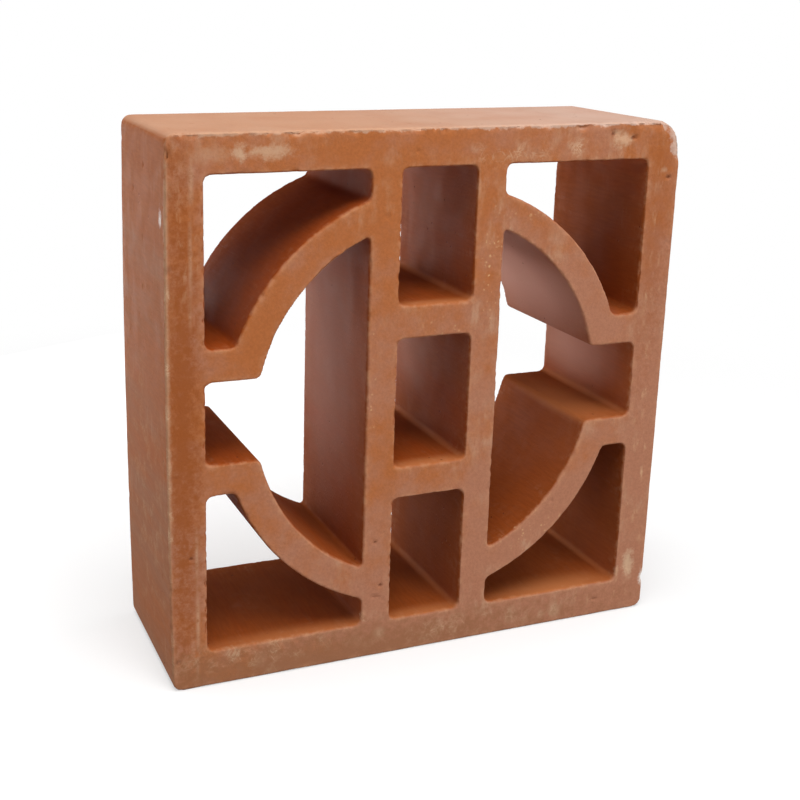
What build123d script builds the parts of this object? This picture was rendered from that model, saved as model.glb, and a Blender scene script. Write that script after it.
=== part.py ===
"""Terracotta breeze block: one piece of clay, pushed through a die, wire-cut and fired.

Millimetres. X runs across the face, Y from the front face to the back, Z up.
The origin is the middle of the face that the block stands on.
The die's pattern is a square frame, two upright webs tied by two short bridges,
and a ring that the webs interrupt, held to the frame by four short stubs.
"""
import os

from build123d import *

# outside of the block
block_width = 200.0
block_height = 200.0
block_depth = 65.0
corner_radius = 3.6             # the die's rounding of the long corners
slumped_corner_radius = 8.5     # the top right corner sagged while the clay was soft

# clay walls of the pattern
frame_wall = 14.0
web_wall = 11.9
bridge_wall = 12.3
stub_wall = 11.8
ring_wall = 12.1

# open spaces of the pattern
middle_column_width = 29.0      # between the two webs
middle_cell_height = 49.0       # between the two bridges
slot_height = 29.8              # between an upper stub and the lower one
ring_to_frame = 6.0             # the least gap between the ring and the frame

# rounded corners of the cells
cell_corner_radius = 2.4
stub_tip_radius = 2.6           # where a slot breaks through the ring
ring_tip_radius = 1.2           # where the ring's inside runs into a web

# the wire leaves a slightly blunt edge on both cut faces
outer_arris = 0.9
cell_arris = 0.6

# worked out from the sizes above
window_half_width = block_width / 2 - frame_wall
window_half_height = block_height / 2 - frame_wall
ring_outer_radius = min(window_half_width, window_half_height) - ring_to_frame
ring_inner_radius = ring_outer_radius - ring_wall
web_outer_side = middle_column_width / 2 + web_wall
stub_outer_side = slot_height / 2 + stub_wall
bridge_outer_side = middle_cell_height / 2 + bridge_wall


def block_outline():
    """The outside of the section, with its one slumped corner."""
    upper_right = (block_width / 2, block_height / 2)
    with BuildSketch() as outline:
        Rectangle(block_width, block_height)
        fillet(outline.vertices().sort_by_distance(upper_right)[1:], corner_radius)
        fillet(outline.vertices().sort_by_distance(upper_right)[0], slumped_corner_radius)
    return outline.sketch


def corner_cell():
    """The open space at the upper right, between frame, web, stub and ring."""
    with BuildSketch() as cell:
        with Locations((web_outer_side, stub_outer_side)):
            Rectangle(
                window_half_width - web_outer_side,
                window_half_height - stub_outer_side,
                align=(Align.MIN, Align.MIN),
            )
        Circle(ring_outer_radius, mode=Mode.SUBTRACT)
        fillet(cell.vertices(), cell_corner_radius)
    return cell.sketch


def side_cell():
    """The right half of the ring's inside, with the slot that opens it to the frame."""
    with BuildSketch() as cell:
        with Locations((web_outer_side, 0)):
            Rectangle(ring_inner_radius, 2 * ring_inner_radius, align=(Align.MIN, Align.CENTER))
        Circle(ring_inner_radius, mode=Mode.INTERSECT)
        fillet(cell.vertices(), ring_tip_radius)
        with Locations((web_outer_side, 0)):
            Rectangle(
                window_half_width - web_outer_side,
                slot_height,
                align=(Align.MIN, Align.CENTER),
            )
        slot_ends = cell.vertices().group_by(Axis.X)[-1]
        fillet(slot_ends, cell_corner_radius)
        # the ring's inside meets the slot at the tips of the two stubs
        tip = (ring_inner_radius**2 - (slot_height / 2) ** 2) ** 0.5
        fillet(cell.vertices().sort_by_distance((tip, slot_height / 2))[0], stub_tip_radius)
        fillet(cell.vertices().sort_by_distance((tip, -slot_height / 2))[0], stub_tip_radius)
    return cell.sketch


def column_cells():
    """The three openings between the webs: above, between and below the bridges."""
    end_height = window_half_height - bridge_outer_side
    end_centre = (window_half_height + bridge_outer_side) / 2
    with BuildSketch() as cells:
        Rectangle(middle_column_width, middle_cell_height)
        with Locations((0, end_centre), (0, -end_centre)):
            Rectangle(middle_column_width, end_height)
        fillet(cells.vertices(), cell_corner_radius)
    return cells.sketch


def die_section():
    """The whole section of the clay, as the die shapes it."""
    upper_right = corner_cell()
    upper_pair = upper_right + upper_right.mirror(Plane.YZ)
    right_side = side_cell()
    with BuildSketch() as section:
        add(block_outline())
        add(upper_pair, mode=Mode.SUBTRACT)
        add(upper_pair.mirror(Plane.XZ), mode=Mode.SUBTRACT)
        add(right_side, mode=Mode.SUBTRACT)
        add(right_side.mirror(Plane.YZ), mode=Mode.SUBTRACT)
        add(column_cells(), mode=Mode.SUBTRACT)
    return section.sketch


def breeze_block():
    """The section pushed through to the block's depth, with its cut edges blunted."""
    front_face = Plane(
        origin=(0, -block_depth / 2, block_height / 2), x_dir=(1, 0, 0), z_dir=(0, -1, 0)
    )
    with BuildPart() as block:
        with BuildSketch(front_face):
            add(die_section())
        extrude(amount=-block_depth)
        rims = [face.outer_wire() for face in block.faces().filter_by(Axis.Y)]
        fillet([edge for rim in rims for edge in rim.edges()], outer_arris)
        cut_faces = block.faces().filter_by(Axis.Y)
        mouths = [wire for face in cut_faces for wire in face.inner_wires()]
        chamfer([edge for mouth in mouths for edge in mouth.edges()], cell_arris)
    return block.part


if __name__ == "__main__":
    os.makedirs("parts", exist_ok=True)
    export_step(breeze_block(), "parts/breeze_block.step")
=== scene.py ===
# Terracotta breeze block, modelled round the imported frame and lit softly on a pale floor.
import math
import random

import bmesh
import bpy
import numpy as np
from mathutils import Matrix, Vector, kdtree, noise


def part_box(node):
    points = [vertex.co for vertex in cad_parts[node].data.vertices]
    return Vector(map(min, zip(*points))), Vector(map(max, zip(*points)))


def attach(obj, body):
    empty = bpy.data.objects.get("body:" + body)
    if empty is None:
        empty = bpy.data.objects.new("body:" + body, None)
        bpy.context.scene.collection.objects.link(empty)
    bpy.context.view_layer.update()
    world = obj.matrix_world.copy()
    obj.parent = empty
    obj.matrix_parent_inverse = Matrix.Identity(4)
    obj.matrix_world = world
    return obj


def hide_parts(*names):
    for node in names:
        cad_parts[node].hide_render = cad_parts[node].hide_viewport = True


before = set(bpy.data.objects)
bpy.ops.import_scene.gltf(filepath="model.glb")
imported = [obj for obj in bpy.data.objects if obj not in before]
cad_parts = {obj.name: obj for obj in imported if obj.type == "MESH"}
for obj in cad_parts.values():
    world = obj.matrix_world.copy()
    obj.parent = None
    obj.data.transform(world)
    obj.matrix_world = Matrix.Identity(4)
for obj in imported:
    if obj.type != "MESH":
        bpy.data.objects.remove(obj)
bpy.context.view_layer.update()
blockLow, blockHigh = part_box("breeze_block")
mm = 0.001
print("frame loaded, block", [round(v / mm, 1) for v in blockHigh - blockLow], "mm")

# the block: what the die gives, in millimetres
dieShape = {
    "frameWall": 14.0,
    "webWall": 11.9,
    "bridgeWall": 12.3,
    "stubWall": 11.8,
    "ringWall": 12.1,
    "columnWidth": 29.0,      # clear width between the two webs
    "middleHeight": 49.0,     # clear height between the two bridges
    "slotHeight": 29.8,       # clear height between two stubs
    "ringToFrame": 6.0,
    "cornerRadius": 3.6,
    "slumpedRadius": 8.5,     # top right corner
    "cellRadius": 2.4,
    "stubTipRadius": 2.6,
    "ringTipRadius": 1.2,
    "arcSteps": 20,
    "roundSteps": 5,
    "rimRadius": 0.45,        # the wire leaves a slightly blunt rim
}

halfWidth = (blockHigh.x - blockLow.x) / 2 / mm
halfDepth = (blockHigh.y - blockLow.y) / 2 / mm
halfHeight = (blockHigh.z - blockLow.z) / 2 / mm


def startLine(bm, x, z):
    return bm.verts.new((x, 0, z))


def lineTo(bm, last, x, z):
    tip = bmesh.ops.extrude_vert_indiv(bm, verts=[last])["verts"][0]
    tip.co = (x, 0, z)
    return tip


def arcTo(bm, last, turn, steps):
    # round the ring's centre, counted from +X towards +Z
    swept = bmesh.ops.spin(bm, geom=[last], cent=(0, 0, 0), axis=(0, 1, 0), dvec=(0, 0, 0),
                           angle=-turn, steps=steps, use_duplicate=False)
    return next(g for g in swept["geom_last"] if isinstance(g, bmesh.types.BMVert))


def closeLine(bm, first, last):
    bm.edges.new((last, first))
    return first


def roundCorner(bm, x, z, radius, steps):
    # the set-back along the edges gives the same radius at any angle
    corner = min(bm.verts, key=lambda v: (v.co.x - x) ** 2 + (v.co.z - z) ** 2)
    a, b = [(e.other_vert(corner).co - corner.co).normalized() for e in corner.link_edges]
    setBack = radius / math.tan(a.angle(b) / 2)
    bmesh.ops.bevel(bm, geom=[corner], offset=setBack, offset_type="OFFSET", segments=steps,
                    profile=0.5, affect="VERTICES", material=-1)


def cellOutline(build, corners, radii):
    # one closed outline, its corners rounded while it is a face, then only its edges kept
    bm = bmesh.new()
    build(bm)
    bmesh.ops.contextual_create(bm, geom=bm.edges[:])
    for (x, z), radius in zip(corners, radii):
        roundCorner(bm, x, z, radius, dieShape["roundSteps"])
    bmesh.ops.delete(bm, geom=bm.faces[:], context="FACES_ONLY")
    return bm


def addOutline(section, outline, flips=((1, 1),)):
    # the die's pattern repeats mirrored, so one outline serves up to four places
    held = bpy.data.meshes.new("outline")
    outline.to_mesh(held)
    outline.free()
    for flipX, flipZ in flips:
        before = set(section.verts)
        section.from_mesh(held)
        added = [v for v in section.verts if v not in before]
        bmesh.ops.scale(section, verts=added, vec=(flipX, 1, flipZ))
    bpy.data.meshes.remove(held)


def dieSection():
    s = dieShape
    windowX = halfWidth - s["frameWall"]
    windowZ = halfHeight - s["frameWall"]
    ringOut = min(windowX, windowZ) - s["ringToFrame"]
    ringIn = ringOut - s["ringWall"]
    columnSide = s["columnWidth"] / 2
    webSide = columnSide + s["webWall"]
    slotSide = s["slotHeight"] / 2
    stubSide = slotSide + s["stubWall"]
    midSide = s["middleHeight"] / 2
    bridgeSide = midSide + s["bridgeWall"]
    section = bmesh.new()

    def outside(bm):
        first = startLine(bm, -halfWidth, -halfHeight)
        last = lineTo(bm, first, halfWidth, -halfHeight)
        last = lineTo(bm, last, halfWidth, halfHeight)
        closeLine(bm, first, lineTo(bm, last, -halfWidth, halfHeight))

    corners = [(x, z) for x in (-halfWidth, halfWidth) for z in (-halfHeight, halfHeight)]
    addOutline(section, cellOutline(outside, corners, [s["cornerRadius"]] * 3 + [s["slumpedRadius"]]))

    # corner cell, between frame, web, ring and stub
    webEnd = math.acos(webSide / ringOut)
    stubEnd = math.asin(stubSide / ringOut)
    arcHigh = (webSide, ringOut * math.sin(webEnd))
    arcLow = (ringOut * math.cos(stubEnd), stubSide)

    def cornerCell(bm):
        first = startLine(bm, *arcHigh)
        last = arcTo(bm, first, stubEnd - webEnd, s["arcSteps"])
        last = lineTo(bm, last, windowX, stubSide)
        last = lineTo(bm, last, windowX, windowZ)
        closeLine(bm, first, lineTo(bm, last, webSide, windowZ))

    corners = [arcHigh, arcLow, (windowX, stubSide), (windowX, windowZ), (webSide, windowZ)]
    addOutline(section, cellOutline(cornerCell, corners, [s["cellRadius"]] * 5),
               ((1, 1), (-1, 1), (1, -1), (-1, -1)))

    # side cell, half the ring's inside with its slot out to the frame
    tipTurn = math.acos(webSide / ringIn)
    slotTurn = math.asin(slotSide / ringIn)
    tips = [(webSide, side * ringIn * math.sin(tipTurn)) for side in (1, -1)]
    stubTips = [(ringIn * math.cos(slotTurn), side * slotSide) for side in (1, -1)]
    slotEnds = [(windowX, slotSide), (windowX, -slotSide)]

    def sideCell(bm):
        first = startLine(bm, *tips[0])
        last = arcTo(bm, first, slotTurn - tipTurn, s["arcSteps"])
        last = lineTo(bm, last, *slotEnds[0])
        last = lineTo(bm, last, *slotEnds[1])
        last = lineTo(bm, last, *stubTips[1])
        closeLine(bm, first, arcTo(bm, last, slotTurn - tipTurn, s["arcSteps"]))

    radii = [s["ringTipRadius"]] * 2 + [s["stubTipRadius"]] * 2 + [s["cellRadius"]] * 2
    addOutline(section, cellOutline(sideCell, tips + stubTips + slotEnds, radii), ((1, 1), (-1, 1)))

    # the three openings between the webs
    def upright(low, high):
        def build(bm):
            first = startLine(bm, -columnSide, low)
            last = lineTo(bm, first, columnSide, low)
            last = lineTo(bm, last, columnSide, high)
            closeLine(bm, first, lineTo(bm, last, -columnSide, high))
        return build, [(x, z) for x in (-columnSide, columnSide) for z in (low, high)]

    for low, high, flips in ((-midSide, midSide, ((1, 1),)), (bridgeSide, windowZ, ((1, 1), (1, -1)))):
        build, corners = upright(low, high)
        addOutline(section, cellOutline(build, corners, [s["cellRadius"]] * 4), flips)
    return section


def rimPoints(section, spacing):
    # points along every edge that the wire cuts, for finding how near a place is to one
    places = []
    for edge in section.edges:
        a, b = edge.verts[0].co, edge.verts[1].co
        steps = max(1, round((b - a).length / spacing))
        places += [a.lerp(b, i / steps) for i in range(steps)]
    tree = kdtree.KDTree(len(places))
    for i, place in enumerate(places):
        tree.insert(place, i)
    tree.balance()
    return tree


def pushThroughDie(section):
    bmesh.ops.triangle_fill(section, use_beauty=True, use_dissolve=False, edges=section.edges[:])
    everything = section.faces[:] + section.edges[:] + section.verts[:]
    pushed = bmesh.ops.extrude_face_region(section, geom=everything, use_keep_orig=True)
    moved = [g for g in pushed["geom"] if isinstance(g, bmesh.types.BMVert)]
    bmesh.ops.translate(section, verts=moved, vec=(0, 2 * halfDepth, 0))
    bmesh.ops.translate(section, verts=section.verts[:], vec=(0, -halfDepth, halfHeight))
    bmesh.ops.scale(section, verts=section.verts[:], vec=(mm, mm, mm))
    bmesh.ops.recalc_face_normals(section, faces=section.faces[:])
    rims = [e for e in section.edges if len(e.link_faces) == 2 and e.calc_face_angle() > 1.4
            and abs(e.verts[0].co.y - e.verts[1].co.y) < mm]
    bmesh.ops.bevel(section, geom=rims, offset=dieShape["rimRadius"] * mm, offset_type="OFFSET", segments=3,
                    profile=0.5, affect="EDGES", material=-1)


def settle(piece):
    # what the modifiers give becomes the piece's own mesh
    shown = bpy.context.evaluated_depsgraph_get()
    finished = bpy.data.meshes.new_from_object(piece.evaluated_get(shown))
    piece.modifiers.clear()
    piece.data = finished


# wear and making marks, in millimetres; x and z are seen from the front, z from the floor
clay = {
    "grain": 0.65,            # size of the working mesh's cells
    "triangles": 194000,
    "rimReach": 0.8,          # how far in from a cut edge the wire tears the clay
    "rimTear": 0.95,
    "outerTear": 0.3,         # the outer edges are cleaner
    "sideBand": 3,            # an edge this near to the outline counts as an outer one
    "topBand": 9,
    "topReach": 1.5,          # but the top front edge is bitten all along
    "topTear": 3.2,
    "sawnTear": 3.0,          # and the left edges of the openings are toothed
    "sawnBand": 0.8,
    "cornerWear": 1.5,        # the slumped corner's front edge is worn soft
    "cornerReach": 2.8,
    "blendFrom": 16,          # how far from the outline the top edge's own wear begins
    "blendOver": 8,
    "faceWave": 0.16,
    "dragMarks": 0.02,        # where the wire dragged grit along the cut face
    "dieWave": 0.14,
    "bowLeft": 1.0,           # the left side is fuller at its middle
    "clearance": 0.02,        # how far everything stays inside the block's box
    "wornReach": 1.5,         # how far from a cut edge the rim looks worn
    "innerFrom": 6,           # this far inside the outline a wall begins to count as an inner one
    "innerOver": 4,
    "lipReach": 5,            # how far dust hangs down from the top edge
    "lipRight": 25,           # and how far down the right side it still does
    "lipSlump": 0.3,          # round the slumped corner it is stretched by one over this
    "lipFade": 0.15,
    "pits": 130,
    "pitSize": (0.6, 1.3),
    "pitDepth": (0.2, 0.5),
    "edgeChips": 16,
    "chipSize": (0.8, 1.6),
    "chipDepth": (0.2, 0.5),
    "dentReach": 3,           # half size along Y of a named dent
    "seed": 11,
}

# dents that stand out on the face: place x, z, half sizes and depth
dents = [
    {"name": "rightScar", "x": 92.2, "z": 19.9, "sizeX": 2.6, "sizeZ": 5.2, "depth": 0.35},
    {"name": "edgeNick", "x": 99.8, "z": 13.2, "sizeX": 1.5, "sizeZ": 2.4, "depth": 0.6},
    {"name": "topScar", "x": 75.0, "z": 195.6, "sizeX": 6.0, "sizeZ": 3.0, "depth": 0.45},
    {"name": "topPitA", "x": 70.0, "z": 196.4, "sizeX": 1.4, "sizeZ": 1.0, "depth": 1.0},
    {"name": "topPitB", "x": 79.4, "z": 194.5, "sizeX": 1.8, "sizeZ": 0.9, "depth": 1.0},
    {"name": "rightPit", "x": 95.7, "z": 179.0, "sizeX": 1.4, "sizeZ": 0.9, "depth": 1.0},
    {"name": "topNotch", "x": 56.5, "z": 198.8, "sizeX": 3.2, "sizeZ": 1.8, "depth": 0.9},
    {"name": "webPitA", "x": -21.3, "z": 46.9, "sizeX": 1.0, "sizeZ": 1.0, "depth": 0.7},
    {"name": "webPitB", "x": -18.6, "z": 29.0, "sizeX": 1.0, "sizeZ": 1.0, "depth": 0.6},
    {"name": "crackLeft", "x": -21.0, "z": 24.8, "sizeX": 2.4, "sizeZ": 0.8, "depth": 0.5},
    {"name": "lowMark", "x": 77.1, "z": 7.1, "sizeX": 2.2, "sizeZ": 0.8, "depth": 0.5},
    {"name": "leftPitA", "x": -91.9, "z": 51.1, "sizeX": 1.1, "sizeZ": 1.1, "depth": 0.7},
    {"name": "leftPitB", "x": -97.4, "z": 11.3, "sizeX": 1.1, "sizeZ": 1.2, "depth": 0.7},
]


# where the wire came out into an opening, it pulled teeth of clay after it
sawnEdges = (-dieShape["columnWidth"] / 2, dieShape["frameWall"] - halfWidth)


def wave(place, size, seed):
    return noise.noise(place / size + Vector((seed, seed * 1.7, -seed)))


def tearAt(place, least):
    # the wire leaves small bites along an edge, in runs, with cleaner stretches between
    runs = min(1, max(least, 0.5 + 1.4 * wave(place, 21, 8)))
    return runs * (max(0, wave(place, 4.2, 1)) + 0.8 * max(0, wave(place, 1.9, 2)))


def bittenEdge(x, y, z, toWall, toCut):
    # how deep the clay is torn at a place near a cut edge
    apart = toWall ** 2 + toCut ** 2
    place = Vector((x, y, z))
    near = math.exp(-apart / clay["rimReach"] ** 2)
    if abs(x) > halfWidth - clay["sideBand"] or abs(z - halfHeight) > halfHeight - clay["topBand"]:
        plain = near * clay["rimTear"] * clay["outerTear"] * tearAt(place, 0.15)
        high = min(1, max(0, (z - 2 * halfHeight + clay["blendFrom"]) / clay["blendOver"])) if y < 0 else 0
        if high == 0:
            return plain
        rounded = min(1, max(0, (x - halfWidth + clay["blendFrom"]) / clay["blendOver"]))   # 1 on the slump
        torn = clay["rimTear"] * clay["topTear"] * tearAt(place, 0.5)
        torn = torn * math.exp(-apart / clay["topReach"] ** 2)
        worn = clay["cornerWear"] * math.exp(-apart / clay["cornerReach"] ** 2)
        return plain * (1 - high) + high * (torn * (1 - 0.8 * rounded) + worn * rounded)
    if near < 0.01:
        return 0
    if y < 0 and any(abs(x - edge) < clay["sawnBand"] for edge in sawnEdges):
        return near * (0.1 + clay["sawnTear"] * max(0, wave(place, 2.1, 31)))
    return near * clay["rimTear"] * tearAt(place, 0.15)


def shapeClay(mesh, rims):
    # moves the points of the plain form as wire, die and handling leave them
    count = len(mesh.vertices)
    places = np.empty(count * 3, np.float32)
    facing = np.empty(count * 3, np.float32)
    mesh.vertices.foreach_get("co", places)
    mesh.vertex_normals.foreach_get("vector", facing)
    places = places.reshape(-1, 3).astype(float) / mm
    facing = facing.reshape(-1, 3).astype(float)
    sink = np.zeros(count)
    for i, (x, y, z) in enumerate(places.tolist()):
        toCut = halfDepth - abs(y)
        place = Vector((x, y, z))
        if abs(facing[i][1]) > 0.7:
            sink[i] += clay["faceWave"] * (0.5 + wave(place, 28, 3))
            sink[i] += clay["dragMarks"] * wave(Vector((x * 0.12, y, z)), 1.6, 9)
        else:
            along = Vector((x, y * 0.03, z))     # die marks run with the clay
            sink[i] += clay["dieWave"] * (0.5 + 0.6 * wave(along, 14, 5) + 0.15 * wave(along, 3.5, 7))
        if toCut > 3 * clay["topReach"]:
            continue
        toWall = rims.find(Vector((x, 0, z - halfHeight)))[2]
        sink[i] += bittenEdge(x, y, z, toWall, toCut)
    sink += scoops(places)
    places -= facing * sink[:, None]
    inFrame = np.clip((dieShape["frameWall"] - halfWidth - places[:, 0]) / dieShape["frameWall"], 0, 1)
    places[:, 0] += clay["bowLeft"] * inFrame * ((places[:, 2] - halfHeight) / halfHeight) ** 2
    # nothing stands out of the block's box
    low = np.array(blockLow) / mm + clay["clearance"]
    high = np.array(blockHigh) / mm - clay["clearance"]
    places = np.clip(places, low, high)
    mesh.vertices.foreach_set("co", (places * mm).astype(np.float32).ravel())
    mesh.update()


def scoops(places):
    # dents by name, then seeded pits on the faces and chips along the outer edges
    rng = random.Random(clay["seed"])
    sink = np.zeros(len(places))

    def scoop(centre, sizes, depth):
        off = (places - np.array(centre)) / np.array(sizes)
        far = (off ** 2).sum(1)
        hit = far < 1
        sink[hit] += depth * (1 - far[hit]) ** 1.3

    for dent in dents:
        sizes = (dent["sizeX"], clay["dentReach"], dent["sizeZ"])
        scoop((dent["x"], -halfDepth, dent["z"]), sizes, dent["depth"])
    for n in range(clay["pits"]):
        x = rng.uniform(-halfWidth, halfWidth)
        z = rng.uniform(0, 2 * halfHeight)
        y = rng.uniform(-halfDepth, halfDepth)
        size = rng.uniform(*clay["pitSize"])
        depth = rng.uniform(*clay["pitDepth"])
        spot = rng.choice(((x, -halfDepth, z), (x, -halfDepth, z), (x, halfDepth, z), (-halfWidth, y, z),
                           (halfWidth, y, z), (x, y, 2 * halfHeight)))
        scoop(spot, (size, size, size), depth)
    for n in range(clay["edgeChips"]):
        run = rng.uniform(-1, 1)
        cut = rng.choice((-halfDepth, -halfDepth, halfDepth))
        side = rng.choice((-1, 1))
        if rng.random() < 0.5:
            spot = (run * halfWidth, cut, halfHeight + side * halfHeight)
        else:
            spot = (side * halfWidth, cut, halfHeight + run * halfHeight)
        size = rng.uniform(*clay["chipSize"])
        if cut < 0 and side > 0:
            continue      # the top and right edges of the front are treated by themselves
        sizes = (size * rng.uniform(1, 2), size, size * rng.uniform(1, 2))
        scoop(spot, sizes, rng.uniform(*clay["chipDepth"]))
    return sink


def markSurface(mesh, rims):
    # values for the material: how near a cut edge is, cut face or die skin, how far inside the frame,
    # and how near the outline along the top and its slumped corner
    rimWear = []
    cutFace = []
    innerWall = []
    topLip = []
    slump = dieShape["slumpedRadius"]
    for vertex in mesh.vertices:
        x, y, z = vertex.co / mm
        toWall = rims.find(Vector((x, 0, z - halfHeight)))[2]
        toCut = halfDepth - abs(y)
        rimWear.append(math.exp(-(toWall ** 2 + toCut ** 2) / clay["wornReach"] ** 2))
        cutFace.append(min(1, max(0, (abs(vertex.normal.y) - 0.3) / 0.5)))
        fromSide = halfWidth - abs(x)
        fromTop = 2 * halfHeight - z
        inside = min(fromSide, fromTop, z) - clay["innerFrom"]
        innerWall.append(min(1, max(0, inside / clay["innerOver"])))
        toOutline = fromTop
        if x > 0 and fromSide < slump and fromTop < slump:
            toOutline = clay["lipSlump"] * (slump - math.hypot(slump - fromSide, slump - fromTop))
        elif x > 0 and z > 2 * halfHeight - clay["lipRight"]:
            below = clay["lipFade"] * max(0, fromTop - slump)
            toOutline = min(fromTop, clay["lipSlump"] * fromSide + below)
        topLip.append(max(0, 1 - max(0, toOutline) / clay["lipReach"]))
    for name, values in (("rimWear", rimWear), ("cutFace", cutFace),
                         ("innerWall", innerWall), ("topLip", topLip)):
        mesh.attributes.new(name, "FLOAT", "POINT").data.foreach_set("value", values)


def makeBlock():
    section = dieSection()
    rims = rimPoints(section, 0.5)
    pushThroughDie(section)
    mesh = bpy.data.meshes.new("clayBlock")
    section.to_mesh(mesh)
    section.free()
    piece = bpy.data.objects.new("clayBlock", mesh)
    bpy.context.collection.objects.link(piece)
    grain = piece.modifiers.new("grain", "REMESH")
    grain.mode = "VOXEL"
    grain.voxel_size = clay["grain"] * mm
    settle(piece)
    print("working mesh", len(piece.data.vertices), "points")
    shapeClay(piece.data, rims)
    spare = piece.modifiers.new("spare", "DECIMATE")
    spare.ratio = min(1, clay["triangles"] / (2 * len(piece.data.polygons)))
    settle(piece)
    piece.data.shade_smooth()
    markSurface(piece.data, rims)
    smooth = piece.modifiers.new("faceWeight", "WEIGHTED_NORMAL")
    smooth.weight = 60
    print("block shaped,", sum(len(p.vertices) - 2 for p in piece.data.polygons), "triangles")
    return piece


# colours are linear; sizes of patterns are counted in repeats a metre
firedClay = {
    "cutWarm": (0.380, 0.120, 0.036),
    "cutDull": (0.378, 0.160, 0.092),
    "skinWarm": (0.325, 0.092, 0.024),
    "skinDull": (0.290, 0.116, 0.056),
    # the inner walls are a darker, deeper red than the outer skin: painted shade of the cells' insides
    "innerWarm": (0.300, 0.052, 0.004),
    "innerDull": (0.280, 0.060, 0.009),
    # dust and paleDust colour the dust over the top front edge and the top bed, where they are also a painted
    # highlight
    "dust": (0.510, 0.305, 0.200),
    "paleDust": (0.570, 0.410, 0.335),
    "bloom": (0.560, 0.370, 0.240),
    "rim": (0.540, 0.270, 0.145),
    # near black in the small pits: painted shade in them
    "pit": (0.110, 0.026, 0.010),
    "cutRoughness": 0.75,
    "skinRoughness": 0.80,
    "innerRoughness": 0.78,   # matt, so that the white room doesn't veil the inner walls
    "dustyRoughness": 0.95,   # dust has settled on what faces up
    "shine": 0.11,            # specular level
    "cutBloom": 0.40,
    "skinBloom": 0.16,
    "innerBloom": 0.05,
    # how pale the top bed is painted: dust, and a painted highlight
    "topDustAndHighlight": 0.70,
    "lipDust": 0.80,
    "lipDepth": 4,            # millimetres back from the front face that the hanging dust reaches
    "rimPaleness": 0.45,
    "grainBump": 0.00013,     # metres
    "broadSize": 17,
    "middleSize": 95,
    "fineSize": 1100,
    "lean": 0.16,             # how far the tone drifts from orange at the top left to pink at the low right
}
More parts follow.
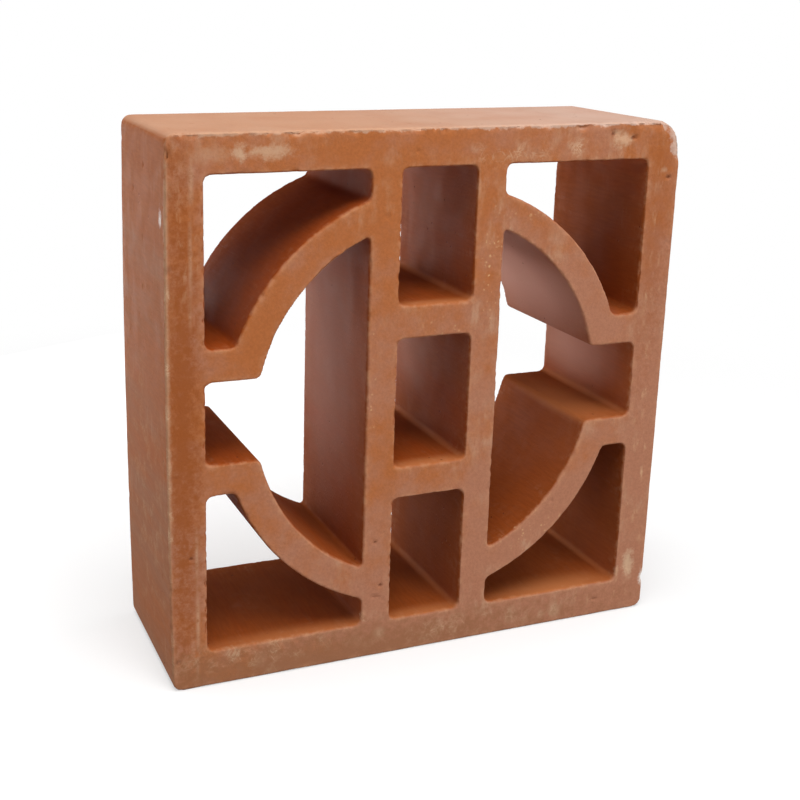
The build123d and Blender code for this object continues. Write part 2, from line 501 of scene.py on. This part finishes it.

# stains, scars and streaks, and painted light and shade: where (x, z on the front, or x, y, z), half sizes in
# millimetres;
# the painted sheen, painted shade, painted floor light and painted glints lie on the inner walls alone, and
# their outlines are soft
marks = [
    {"name": "topSmearA", "at": (-74.0, 193.2), "half": (3.4, 3.4), "tone": "chalk", "strength": 0.72},
    {"name": "topSmearB", "at": (-63.5, 193.1), "half": (9.5, 2.9), "tone": "chalk", "strength": 0.66},
    {"name": "topSmearC", "at": (-84.0, 192.8), "half": (11.0, 3.6), "tone": "chalk", "strength": 0.26},
    {"name": "topScar", "at": (73.8, 194.0), "half": (4.6, 4.0), "tone": "chalk", "strength": 0.70},
    {"name": "topScrape", "at": (56.0, 192.0), "half": (9.0, 4.5), "tone": "scuff", "strength": 0.65},
    {"name": "topScuff", "at": (28.0, 190.0), "half": (30.0, 5.0), "tone": "scuff", "strength": 0.40},
    {"name": "topPitA", "at": (69.4, 195.7), "half": (1.2, 0.8), "tone": "hole", "strength": 0.75},
    {"name": "topPitB", "at": (79.0, 194.2), "half": (1.7, 0.7), "tone": "hole", "strength": 0.75},
    {"name": "rightPit", "at": (95.7, 179.0), "half": (1.3, 0.8), "tone": "hole", "strength": 0.75},
    {"name": "rightPitFleck", "at": (93.4, 181.6), "half": (1.6, 1.6), "tone": "chalk", "strength": 0.6},
    {"name": "rightScar", "at": (92.1, 20.4), "half": (3.3, 6.2), "tone": "chalk", "strength": 0.85},
    {"name": "rightScarB", "at": (86.9, 17.8), "half": (1.1, 3.0), "tone": "chalk", "strength": 0.45},
    {"name": "edgeNick", "at": (99.6, 13.2), "half": (2.4, 3.6), "tone": "lime", "strength": 1.0},
    {"name": "sideChip", "at": (-100, -26.3, 171.7), "half": (2.5, 1.9, 3.6),
     "tone": "lime", "strength": 0.9},
    {"name": "sideStreaks", "at": (-100, -4, 165), "half": (3.0, 36, 44), "tone": "wisp", "strength": 0.22},
    {"name": "sideScuff", "at": (-100, 0, 60), "half": (3.0, 40, 75), "tone": "scuff", "strength": 0.25},
    {"name": "leftEdge", "at": (-100, -31.5, 172), "half": (1.6, 2.0, 34), "tone": "wisp", "strength": 1.0},
    {"name": "leftLineHighA", "at": (-91.0, 158.0), "half": (1.0, 19.0), "tone": "chalk", "strength": 0.55},
    {"name": "leftLineHighB", "at": (-90.5, 184.0), "half": (1.3, 10.0), "tone": "chalk", "strength": 0.45},
    {"name": "leftLineMid", "at": (-91.3, 139.0), "half": (0.9, 6.0), "tone": "chalk", "strength": 0.45},
    {"name": "leftLineLowA", "at": (-89.9, 52.0), "half": (0.9, 13.0), "tone": "chalk", "strength": 0.50},
    {"name": "leftLineLowB", "at": (-89.7, 27.0), "half": (1.0, 14.0), "tone": "chalk", "strength": 0.55},
    {"name": "leftLineLowC", "at": (-90.0, 8.0), "half": (0.9, 6.0), "tone": "chalk", "strength": 0.45},
    {"name": "leftRim", "at": (-99.3, 172.0), "half": (1.3, 32.0), "tone": "chalk", "strength": 0.65},
    # the front of the left frame is darker all along it, the right frame's upper part a little
    {"name": "leftBand", "at": (-94.6, 100.0), "half": (8.6, 140.0), "tone": "umber", "strength": 0.84},
    {"name": "rightBand", "at": (91.0, 160.0), "half": (9.0, 70.0), "tone": "umber", "strength": 0.38},
    {"name": "webPitA", "at": (-21.3, 46.9), "half": (0.9, 0.7), "tone": "hole", "strength": 0.75},
    {"name": "webPitB", "at": (-18.6, 29.0), "half": (0.9, 0.8), "tone": "hole", "strength": 0.75},
    {"name": "webCrack", "at": (-20.0, 24.5), "half": (2.9, 0.35), "tone": "hole", "strength": 0.45},
    {"name": "lowMark", "at": (77.1, 7.1), "half": (2.0, 0.5), "tone": "hole", "strength": 0.5},
    {"name": "leftPitA", "at": (-91.9, 51.1), "half": (0.9, 0.7), "tone": "hole", "strength": 0.75},
    {"name": "leftPitB", "at": (-97.4, 11.3), "half": (0.9, 1.0), "tone": "hole", "strength": 0.6},
    {"name": "edgePitA", "at": (-99.6, 26.0), "half": (1.0, 3.0), "tone": "hole", "strength": 0.6},
    {"name": "edgePitB", "at": (-99.8, 17.0), "half": (0.9, 1.6), "tone": "hole", "strength": 0.6},
    {"name": "edgePitC", "at": (-99.4, 6.5), "half": (1.0, 2.6), "tone": "hole", "strength": 0.5},
    {"name": "lowBlotchA", "at": (57.9, 5.4), "half": (3.0, 4.2), "tone": "chalk", "strength": 0.62},
    {"name": "lowBlotchB", "at": (51.8, 4.8), "half": (1.8, 2.4), "tone": "chalk", "strength": 0.42},
    {"name": "lowBlotchC", "at": (-18.6, 9.0), "half": (2.8, 3.2), "tone": "chalk", "strength": 0.62},
    {"name": "lowBlotchD", "at": (-66.0, 7.0), "half": (3.0, 3.4), "tone": "chalk", "strength": 0.35},
    {"name": "cornerGlint", "at": (-24.0, 17.0), "half": (5.0, 2.6), "tone": "scuff", "strength": 1.0},
    {"name": "lowScuffA", "at": (-66.0, 7.5), "half": (38.0, 9.0), "tone": "scuff", "strength": 1.00},
    {"name": "lowScuffB", "at": (10.0, 6.0), "half": (60.0, 6.5), "tone": "scuff", "strength": 0.65},
    {"name": "cornerWisps", "at": (82.0, 9.0), "half": (20.0, 8.0), "tone": "wisp", "strength": 0.75},
    {"name": "rightWisps", "at": (93.5, 105.0), "half": (7.0, 85.0), "tone": "wisp", "strength": 0.75},
    {"name": "rightWispsHigh", "at": (92.5, 165.0), "half": (4.5, 26.0), "tone": "wisp", "strength": 0.8},
    {"name": "leftWisps", "at": (-92.0, 165.0), "half": (8.0, 34.0), "tone": "wisp", "strength": 0.55},
    {"name": "webSpeckles", "at": (22.0, 146.0), "half": (5.0, 20.0), "tone": "crumb", "strength": 0.80},
    {"name": "webLine", "at": (-24.6, 108.0), "half": (1.8, 24.0), "tone": "crumb", "strength": 0.6},
    {"name": "bridgeCrumbs", "at": (4.0, 127.5), "half": (14.0, 4.0), "tone": "crumb", "strength": 0.5},
    {"name": "arcSpeckles", "at": (34.0, 170.0), "half": (13.0, 7.0), "tone": "crumb", "strength": 0.5},
    {"name": "lowArcCrumbs", "at": (42.0, 43.0), "half": (20.0, 9.0), "tone": "crumb", "strength": 0.5},
    {"name": "rightStreaks", "at": (96.0, 55.0), "half": (3.5, 50.0), "tone": "wisp", "strength": 0.8},
    # the bottom beam painted darker and greyer: painted shade
    {"name": "lowBeamShade", "at": (-40.0, 3.0), "half": (140.0, 14.0), "tone": "grey", "strength": 0.76},
    # painted sheen and back light on the ring's inside and on the walls that face left
    {"name": "ringSheenHigh", "at": (35, 8, 160), "half": (17, 60, 20), "tone": "paintedSheen", "strength": 1.0},
    {"name": "ringSheenLow", "at": (56, 8, 136), "half": (28, 60, 32), "tone": "paintedSheen", "strength": 1.0},
    {"name": "highSheen", "at": (15, 16, 166), "half": (4, 30, 26), "tone": "paintedSheen", "strength": 0.16},
    {"name": "slotSheen", "at": (86, 12, 103), "half": (5, 36, 18), "tone": "paintedSheen", "strength": 0.60},
    {"name": "webSheen", "at": (-26, 8, 112), "half": (5, 36, 62), "tone": "paintedSheen", "strength": 0.45},
    {"name": "middleSheen", "at": (15, 20, 106), "half": (5, 26, 22), "tone": "paintedSheen", "strength": 0.36},
    # painted shade high in the left cell
    {"name": "leftCellShade", "at": (-26, -6, 176), "half": (6, 48, 26), "tone": "paintedShade", "strength": 0.75},
    # painted light on the slot's floor
    {"name": "slotFloorLit", "at": (72, -6, 85), "half": (22, 36, 4), "tone": "paintedFloorLight", "strength": 0.75},
    # painted glints along the fillets where wall meets floor
    {"name": "filletGlintHigh", "at": (13.7, 6, 137.6), "half": (1.7, 42, 1.7), "tone": "filletGlint", "strength": 0.55},
    {"name": "filletGlintMiddle", "at": (13.7, 6, 76.3), "half": (1.7, 42, 1.7), "tone": "filletGlint", "strength": 0.55},
    {"name": "filletGlintLow", "at": (13.7, 6, 14.8), "half": (1.7, 42, 1.7), "tone": "filletGlint", "strength": 0.45},
    {"name": "filletGlintSlot", "at": (85.2, 6, 85.9), "half": (1.7, 42, 1.7), "tone": "filletGlint", "strength": 0.60},
    {"name": "filletGlintLowRight", "at": (85.2, 6, 14.8), "half": (1.7, 42, 1.7), "tone": "filletGlint", "strength": 0.40},
    # the front left arris painted paler along its height: a painted highlight over its own shading
    {"name": "leftArrisHighlight", "at": (-99.8, -32.3, 100), "half": (1.7, 1.7, 150),
     "tone": "scuff", "strength": 0.9},
    {"name": "leftArrisHighlightPale", "at": (-99.8, -32.3, 110), "half": (1.4, 1.4, 120),
     "tone": "chalk", "strength": 0.42},
    # painted light along the front lips of the cells' floors
    {"name": "lipHighLit", "at": (0, -31.5, 136.8), "half": (26, 7, 4), "tone": "paintedFloorLight", "strength": 0.80},
    {"name": "lipMiddleLit", "at": (0, -31.5, 75.5), "half": (26, 7, 4), "tone": "paintedFloorLight", "strength": 0.80},
    {"name": "lipLowLit", "at": (0, -31.5, 14), "half": (26, 7, 4), "tone": "paintedFloorLight", "strength": 0.60},
    {"name": "lipLowLitLeft", "at": (-50, -31.5, 14), "half": (52, 8, 4), "tone": "paintedFloorLight", "strength": 0.60},
    {"name": "lowFloorRightLit", "at": (58, -31, 14), "half": (36, 13, 4), "tone": "paintedFloorLight", "strength": 0.85},
]

markTones = {
    "chalk": (0.570, 0.370, 0.235),
    "wisp": (0.580, 0.350, 0.200),
    "scuff": (0.620, 0.410, 0.260),
    "lime": (0.860, 0.800, 0.740),
    # hole: pits and cracks painted near black, painted shade
    "hole": (0.110, 0.026, 0.010),
    "umber": (0.270, 0.070, 0.014),
    # grey darkens the bottom beam: painted shade
    "grey": (0.272, 0.116, 0.054),
    "crumb": (0.640, 0.400, 0.200),
    # painted sheen and back light on the inner walls
    "paintedSheen": (0.700, 0.370, 0.285),
    # painted shade on the inner walls
    "paintedShade": (0.200, 0.028, 0.003),
    # painted light on the cells' floors near the front
    "paintedFloorLight": (0.500, 0.170, 0.056),
    # painted glint along the fillets
    "filletGlint": (0.540, 0.190, 0.075),
}

# the tones of painted sheen, shade, floor light and glint, kept to the inner walls
innerTones = ("paintedSheen", "paintedShade", "paintedFloorLight", "filletGlint")


def addNode(tree, kind, inputs=None, **settings):
    made = tree.nodes.new("ShaderNode" + kind)
    for name, value in settings.items():
        setattr(made, name, value)
    for name, value in (inputs or {}).items():
        if isinstance(value, bpy.types.NodeSocket):
            tree.links.new(value, made.inputs[name])
        else:
            made.inputs[name].default_value = value
    return made


def maths(tree, operation, a, b=0.0, clamp=False):
    return addNode(tree, "Math", {0: a, 1: b}, operation=operation, use_clamp=clamp).outputs[0]


def cloud(tree, vector, size, detail=3.0, roughness=0.5):
    return addNode(tree, "TexNoise", {"Vector": vector, "Scale": size, "Detail": detail,
                                      "Roughness": roughness}).outputs["Fac"]


def between(tree, value, low, high, bottom=0.0, top=1.0):
    # eases a value from bottom to top as it goes from low to high
    made = addNode(tree, "MapRange", {"Value": value, "From Min": low, "From Max": high, "To Min": bottom,
                                      "To Max": top}, interpolation_type="SMOOTHSTEP")
    return made.outputs["Result"]


def tint(tree, amount, base, over, blend="MIX"):
    return addNode(tree, "Mix", {0: amount, 6: base, 7: over}, data_type="RGBA", blend_type=blend).outputs[2]


def stretched(tree, vector, scale):
    return addNode(tree, "Mapping", {"Vector": vector, "Scale": scale}).outputs["Vector"]


def startGroup(name, takes, gives):
    group = bpy.data.node_groups.new(name, "ShaderNodeTree")
    for label, kind in takes:
        group.interface.new_socket(label, in_out="INPUT", socket_type="NodeSocket" + kind)
    for label, kind in gives:
        group.interface.new_socket(label, in_out="OUTPUT", socket_type="NodeSocket" + kind)
    return group, group.nodes.new("NodeGroupInput").outputs, group.nodes.new("NodeGroupOutput").inputs


def useGroup(tree, group, inputs):
    made = tree.nodes.new("ShaderNodeGroup")
    made.node_tree = group
    for name, value in inputs.items():
        if isinstance(value, bpy.types.NodeSocket):
            tree.links.new(value, made.inputs[name])
        else:
            made.inputs[name].default_value = value
    return made.outputs


def makeToneGroup():
    # clay colour that drifts between two tones, with fine grain in it
    group, taken, given = startGroup("clayTone", (("Vector", "Vector"), ("Warm", "Color"), ("Dull", "Color"),
                                                  ("Lean", "Float")), (("Color", "Color"),))
    broad = cloud(group, taken["Vector"], firedClay["broadSize"], 3)
    middle = cloud(group, taken["Vector"], firedClay["middleSize"], 4, 0.6)
    drift = maths(group, "ADD", maths(group, "MULTIPLY", broad, 0.6), maths(group, "MULTIPLY", middle, 0.4))
    drift = maths(group, "ADD", drift, taken["Lean"])
    tone = tint(group, between(group, drift, 0.38, 0.62), taken["Warm"], taken["Dull"])
    fine = between(group, cloud(group, taken["Vector"], firedClay["fineSize"], 3), 0.3, 0.7, 0.93, 1.06)
    grain = addNode(group, "CombineColor", {0: fine, 1: fine, 2: fine}).outputs[0]
    group.links.new(tint(group, 1.0, tone, grain, "MULTIPLY"), given["Color"])
    return group


def makeBloomGroup():
    # salts and dust left on the clay: soft patches broken by a finer pattern
    group, taken, given = startGroup("paleBloom", (("Vector", "Vector"), ("Amount", "Float")),
                                     (("Mask", "Float"),))
    patches = between(group, cloud(group, taken["Vector"], 42, 4, 0.6), 0.48, 0.72)
    upright = stretched(group, taken["Vector"], (1, 1, 0.35))
    wisps = between(group, cloud(group, upright, 260, 4, 0.65), 0.42, 0.68)
    both = maths(group, "MULTIPLY", maths(group, "MULTIPLY", patches, wisps), taken["Amount"], True)
    group.links.new(both, given["Mask"])
    return group


def makeMarkGroup():
    # one stain or scar: an oval whose outline is torn by what Torn adds
    group, taken, given = startGroup("mark", (("Vector", "Vector"), ("Place", "Vector"), ("Reach", "Vector"),
                                              ("Torn", "Float")), (("Mask", "Float"),))
    off = addNode(group, "VectorMath", {0: taken["Vector"], 1: taken["Place"]}, operation="SUBTRACT")
    unit = addNode(group, "VectorMath", {0: off.outputs[0], 1: taken["Reach"]}, operation="DIVIDE").outputs[0]
    far = addNode(group, "VectorMath", {0: unit}, operation="LENGTH").outputs["Value"]
    group.links.new(between(group, maths(group, "ADD", far, taken["Torn"]), 1.2, 0.12), given["Mask"])
    return group


def makeWispGroup():
    # short pale strokes, mostly upright, where something brushed the face
    group, taken, given = startGroup("wisp", (("Vector", "Vector"),), (("Mask", "Float"),))
    upright = stretched(group, taken["Vector"], (1, 1, 0.3))
    strokes = between(group, cloud(group, upright, 330, 4, 0.65), 0.50, 0.70)
    broken = between(group, cloud(group, taken["Vector"], 120, 5, 0.65), 0.44, 0.62)
    group.links.new(maths(group, "MULTIPLY", strokes, broken), given["Mask"])
    return group


def makeScuffGroup():
    # fine crossing scratches that fade in and out
    group, taken, given = startGroup("scuff", (("Vector", "Vector"),), (("Mask", "Float"),))
    total = 0.0
    for turn, size in ((0.6, 300), (-0.5, 360), (1.45, 420)):
        turned = addNode(group, "Mapping", {"Vector": taken["Vector"], "Rotation": (0, turn, 0),
                                            "Scale": (1, 1, 5)}, vector_type="TEXTURE").outputs["Vector"]
        ridge = maths(group, "ABSOLUTE", maths(group, "SUBTRACT", cloud(group, turned, size, 2), 0.5))
        total = maths(group, "MAXIMUM", total, between(group, ridge, 0.030, 0.004, 0, 0.8))
    patches = between(group, cloud(group, taken["Vector"], 120, 4, 0.65), 0.46, 0.62)
    haze = maths(group, "MULTIPLY", patches, 0.3)
    group.links.new(maths(group, "ADD", maths(group, "MULTIPLY", total, patches), haze, True), given["Mask"])
    return group


def makeCrumbGroup():
    # pale crumbs of clay pressed into the face
    group, taken, given = startGroup("crumb", (("Vector", "Vector"),), (("Mask", "Float"),))
    shaken = cloud(group, taken["Vector"], 900, 2)
    cells = addNode(group, "TexVoronoi", {"Vector": taken["Vector"], "Scale": 620.0})
    lot = addNode(group, "SeparateColor", {0: cells.outputs["Color"]}).outputs[0]
    chosen = between(group, lot, 0.45, 0.75)
    far = maths(group, "ADD", cells.outputs["Distance"], maths(group, "MULTIPLY", shaken, 0.6))
    group.links.new(maths(group, "MULTIPLY", chosen, between(group, far, 0.72, 0.40)), given["Mask"])
    return group


def makeMaterial():
    toneGroup = makeToneGroup()
    bloomGroup = makeBloomGroup()
    markGroup = makeMarkGroup()
    patternGroups = {"crumb": makeCrumbGroup(), "wisp": makeWispGroup(), "scuff": makeScuffGroup()}
    material = bpy.data.materials.new("firedClay")
    material.use_nodes = True
    tree = material.node_tree
    shader = tree.nodes["Principled BSDF"]
    coords = addNode(tree, "TexCoord").outputs
    spot = coords["Object"]
    felt = {name: addNode(tree, "Attribute", attribute_name=name).outputs["Fac"]
            for name in ("cutFace", "rimWear", "innerWall", "topLip")}
    cut = felt["cutFace"]
    across, deep, height = addNode(tree, "SeparateXYZ", {0: spot}).outputs

    def solid(name, shades=firedClay):
        return (*shades[name], 1)

    def tone(kind, vector):
        return useGroup(tree, toneGroup, {"Vector": vector, "Warm": solid(kind + "Warm"),
                                          "Dull": solid(kind + "Dull"), "Lean": lean})[0]

    # orange at the top left, pinker at the low right
    downRight = maths(tree, "SUBTRACT", maths(tree, "MULTIPLY", across, 0.7), height)
    lean = between(tree, downRight, -0.27, 0.03, -0.8 * firedClay["lean"], firedClay["lean"])
    # the die's skin is drawn out along Y, the cut face isn't
    drawn = stretched(tree, spot, (1, 0.12, 1))
    # inside the frame the skin turns to the darker inner tones: painted shade
    skin = tint(tree, felt["innerWall"], tone("skin", drawn), tone("inner", drawn))
    colour = tint(tree, cut, skin, tone("cut", spot))
    bloomAmount = between(tree, felt["innerWall"], 0, 1, firedClay["skinBloom"], firedClay["innerBloom"])
    bloomAmount = addNode(tree, "Mix", {0: cut, 2: bloomAmount, 3: firedClay["cutBloom"]}).outputs[0]
    bloom = useGroup(tree, bloomGroup, {"Vector": spot, "Amount": bloomAmount})[0]
    colour = tint(tree, bloom, colour, solid("bloom"))
    # dust lies on the top bed, paler to the right, and hangs over its front edge; on the top bed it is also a
    # painted highlight of the light from above
    upright = addNode(tree, "SeparateXYZ", {0: coords["Normal"]}).outputs["Z"]
    lying = maths(tree, "MULTIPLY", between(tree, upright, 0.35, 0.85),
                  between(tree, height, blockHigh.z - 4 * mm, blockHigh.z - 2 * mm))
    settled = between(tree, cloud(tree, spot, 60, 4, 0.6), 0.25, 0.65, 0.75, 1.0)
    dustAndHighlight = maths(tree, "MULTIPLY", maths(tree, "MULTIPLY", lying, settled), firedClay["topDustAndHighlight"])
    ragged = maths(tree, "MULTIPLY", cloud(tree, spot, 230, 4, 0.65), 0.9)
    hanging = maths(tree, "ADD", felt["topLip"], ragged)
    hanging = maths(tree, "MULTIPLY", between(tree, hanging, 1.13, 1.32), firedClay["lipDust"])
    front = -halfDepth * mm
    nearFront = between(tree, deep, front + firedClay["lipDepth"] * mm, front + mm)
    hanging = maths(tree, "MULTIPLY", hanging, nearFront)
    dustAndHighlightTone = tint(tree, between(tree, across, -0.05, 0.09), solid("dust"), solid("paleDust"))
    colour = tint(tree, maths(tree, "MAXIMUM", dustAndHighlight, hanging), colour, dustAndHighlightTone)
    torn = maths(tree, "SUBTRACT", cloud(tree, spot, 480, 5, 0.65), 0.5)
    torn = maths(tree, "MULTIPLY", torn, 2.2)
    patterns = {name: useGroup(tree, group, {"Vector": spot})[0] for name, group in patternGroups.items()}
    inside = maths(tree, "MULTIPLY", felt["innerWall"], maths(tree, "SUBTRACT", 1.0, cut))
    for name in innerTones:
        patterns[name] = inside
    for mark in marks:
        at, half = mark["at"], mark["half"]
        if len(at) == 2:
            at, half = (at[0], -halfDepth, at[1]), (half[0], 2.5, half[1])
        outline = 0.0 if mark["tone"] in innerTones else torn
        mask = useGroup(tree, markGroup, {"Vector": spot, "Place": [v * mm for v in at],
                                          "Reach": [v * mm for v in half], "Torn": outline})[0]
        if mark["tone"] in patterns:
            mask = maths(tree, "MULTIPLY", mask, patterns[mark["tone"]])
        mask = maths(tree, "MULTIPLY", mask, mark["strength"])
        colour = tint(tree, mask, colour, solid(mark["tone"], markTones))
    worn = between(tree, cloud(tree, spot, 330, 4, 0.6), 0.42, 0.66)
    worn = maths(tree, "MULTIPLY", felt["rimWear"], worn)
    rimMask = maths(tree, "MULTIPLY", worn, firedClay["rimPaleness"])
    colour = tint(tree, rimMask, colour, solid("rim"))
    # rare small pits: dents in the bump, and their near black colour is painted shade
    holes = addNode(tree, "TexVoronoi", {"Vector": spot, "Scale": 300.0})
    rare = between(tree, addNode(tree, "SeparateColor", {0: holes.outputs["Color"]}).outputs[1], 0.93, 0.95)
    holeMask = maths(tree, "MULTIPLY", rare, between(tree, holes.outputs["Distance"], 0.16, 0.07))
    colour = tint(tree, maths(tree, "MULTIPLY", holeMask, 0.7), colour, solid("pit"))
    tree.links.new(colour, shader.inputs["Base Color"])

    shader.inputs["Specular IOR Level"].default_value = firedClay["shine"]
    bedded = between(tree, upright, 0.45, 0.85, firedClay["innerRoughness"], firedClay["dustyRoughness"])
    matt = addNode(tree, "Mix", {0: felt["innerWall"], 2: firedClay["skinRoughness"], 3: bedded}).outputs[0]
    matt = addNode(tree, "Mix", {0: cut, 2: matt, 3: firedClay["cutRoughness"]}).outputs[0]
    uneven = between(tree, cloud(tree, spot, 120, 3), 0.3, 0.7, -0.05, 0.07)
    tree.links.new(maths(tree, "ADD", matt, uneven, True), shader.inputs["Roughness"])

    coarser = maths(tree, "ADD", maths(tree, "MULTIPLY", cut, 0.6), 0.4)
    grain = maths(tree, "MULTIPLY", cloud(tree, spot, 1500, 4, 0.65), coarser)
    lines = cloud(tree, stretched(tree, spot, (1, 0.02, 1)), 900, 3)
    skinOnly = maths(tree, "SUBTRACT", 0.2, maths(tree, "MULTIPLY", cut, 0.2))
    relief = maths(tree, "ADD", grain, maths(tree, "MULTIPLY", lines, skinOnly))
    relief = maths(tree, "SUBTRACT", relief, maths(tree, "MULTIPLY", holeMask, 2.0))
    relief = maths(tree, "ADD", relief, maths(tree, "MULTIPLY", patterns["crumb"], 0.3))
    bump = addNode(tree, "Bump", {"Height": relief, "Distance": firedClay["grainBump"], "Strength": 1.0})
    tree.links.new(bump.outputs["Normal"], shader.inputs["Normal"])
    return material


block = makeBlock()
block.data.materials.clear()
block.data.materials.append(makeMaterial())
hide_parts("breeze_block")
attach(block, "root")
print("material placed")

# the room
studio = {
    "floorSize": 6.0,
    "floorSeen": 0.95,        # what the camera sees
    "floorFelt": 0.36,        # what lights the block from below
    "shadow": 0.55,
    "fadeFrom": 0.25,         # the floor turns plain white between these distances
    "fadeTo": 0.50,
    "worldLight": 0.17,
    "backdrop": 1.0,
    "overhead": {"place": (-0.05, -0.30, 1.15), "size": 0.9, "power": 13.5},
    "front": {"place": (0.35, -1.50, 0.40), "size": 0.8, "power": 12.2},
    "left": {"place": (-1.10, 0.35, 0.50), "size": 0.9, "power": 4.3},
    "right": {"place": (1.15, 0.15, 0.45), "size": 0.9, "power": 3.0},
    "behind": {"place": (-0.17, 0.42, 0.05), "size": 0.30, "power": 1.9, "aim": (0, 0, 0.28)},
}


def softLamp(name, place, size, power, aim=(0, 0, 0.1)):
    lamp = bpy.data.lights.new(name, "AREA")
    lamp.shape = "SQUARE"
    lamp.size = size
    lamp.energy = power
    holder = bpy.data.objects.new(name, lamp)
    holder.location = place
    holder.rotation_euler = (Vector(aim) - Vector(place)).to_track_quat("-Z", "Y").to_euler()
    holder.visible_camera = False
    bpy.context.collection.objects.link(holder)


def plainlySeen(tree):
    # 1 for what the camera sees, straight or in a reflection, and 0 for the light that falls on things
    rays = addNode(tree, "LightPath").outputs
    mirrored = maths(tree, "MAXIMUM", rays["Is Glossy Ray"], rays["Is Transmission Ray"])
    return maths(tree, "MAXIMUM", rays["Is Camera Ray"], mirrored)


def makeFloor():
    bm = bmesh.new()
    bmesh.ops.create_grid(bm, x_segments=1, y_segments=1, size=studio["floorSize"] / 2)
    mesh = bpy.data.meshes.new("floor")
    bm.to_mesh(mesh)
    bm.free()
    floor = bpy.data.objects.new("floor", mesh)
    bpy.context.collection.objects.link(floor)
    material = bpy.data.materials.new("paleFloor")
    material.use_nodes = True
    tree = material.node_tree
    tree.nodes.clear()
    seen = plainlySeen(tree)
    level = between(tree, seen, 0, 1, studio["floorFelt"], studio["floorSeen"])
    grey = addNode(tree, "CombineColor", {0: level, 1: level, 2: level}).outputs[0]
    matt = addNode(tree, "BsdfDiffuse", {"Color": grey}).outputs[0]
    bright = addNode(tree, "Emission").outputs[0]
    away = addNode(tree, "VectorMath", {0: addNode(tree, "TexCoord").outputs["Object"]}, operation="LENGTH")
    far = between(tree, away.outputs["Value"], studio["fadeFrom"], studio["fadeTo"], 1 - studio["shadow"], 1)
    amount = maths(tree, "MULTIPLY", seen, far)
    both = addNode(tree, "MixShader", {0: amount, 1: matt, 2: bright}).outputs[0]
    addNode(tree, "OutputMaterial", {"Surface": both})
    mesh.materials.append(material)


def makeWorld():
    world = bpy.data.worlds.new("studio")
    bpy.context.scene.world = world
    world.use_nodes = True
    tree = world.node_tree
    ground = tree.nodes["Background"]
    ground.inputs["Color"].default_value = (1, 1, 1, 1)
    level = between(tree, plainlySeen(tree), 0, 1, studio["worldLight"], studio["backdrop"])
    tree.links.new(level, ground.inputs["Strength"])


def makeCamera():
    view = {
        "place": (-0.19780, -0.42612, 0.24489),
        "turn": (74.964, -0.970, -21.357),      # degrees
        "lens": 56.57,
        "shiftX": 0.09,                         # the photograph is a crop from beside the lens axis
        "shiftY": -0.09,
    }
    lens = bpy.data.cameras.new("camera")
    lens.lens = view["lens"]
    lens.sensor_width = 36
    lens.shift_x = view["shiftX"]
    lens.shift_y = view["shiftY"]
    camera = bpy.data.objects.new("camera", lens)
    camera.location = view["place"]
    camera.rotation_euler = [math.radians(a) for a in view["turn"]]
    bpy.context.collection.objects.link(camera)
    bpy.context.scene.camera = camera


makeFloor()
makeWorld()
for name in ("overhead", "front", "left", "right", "behind"):
    softLamp(name, **studio[name])
makeCamera()
bpy.context.scene.view_settings.view_transform = "Standard"
print("studio set")
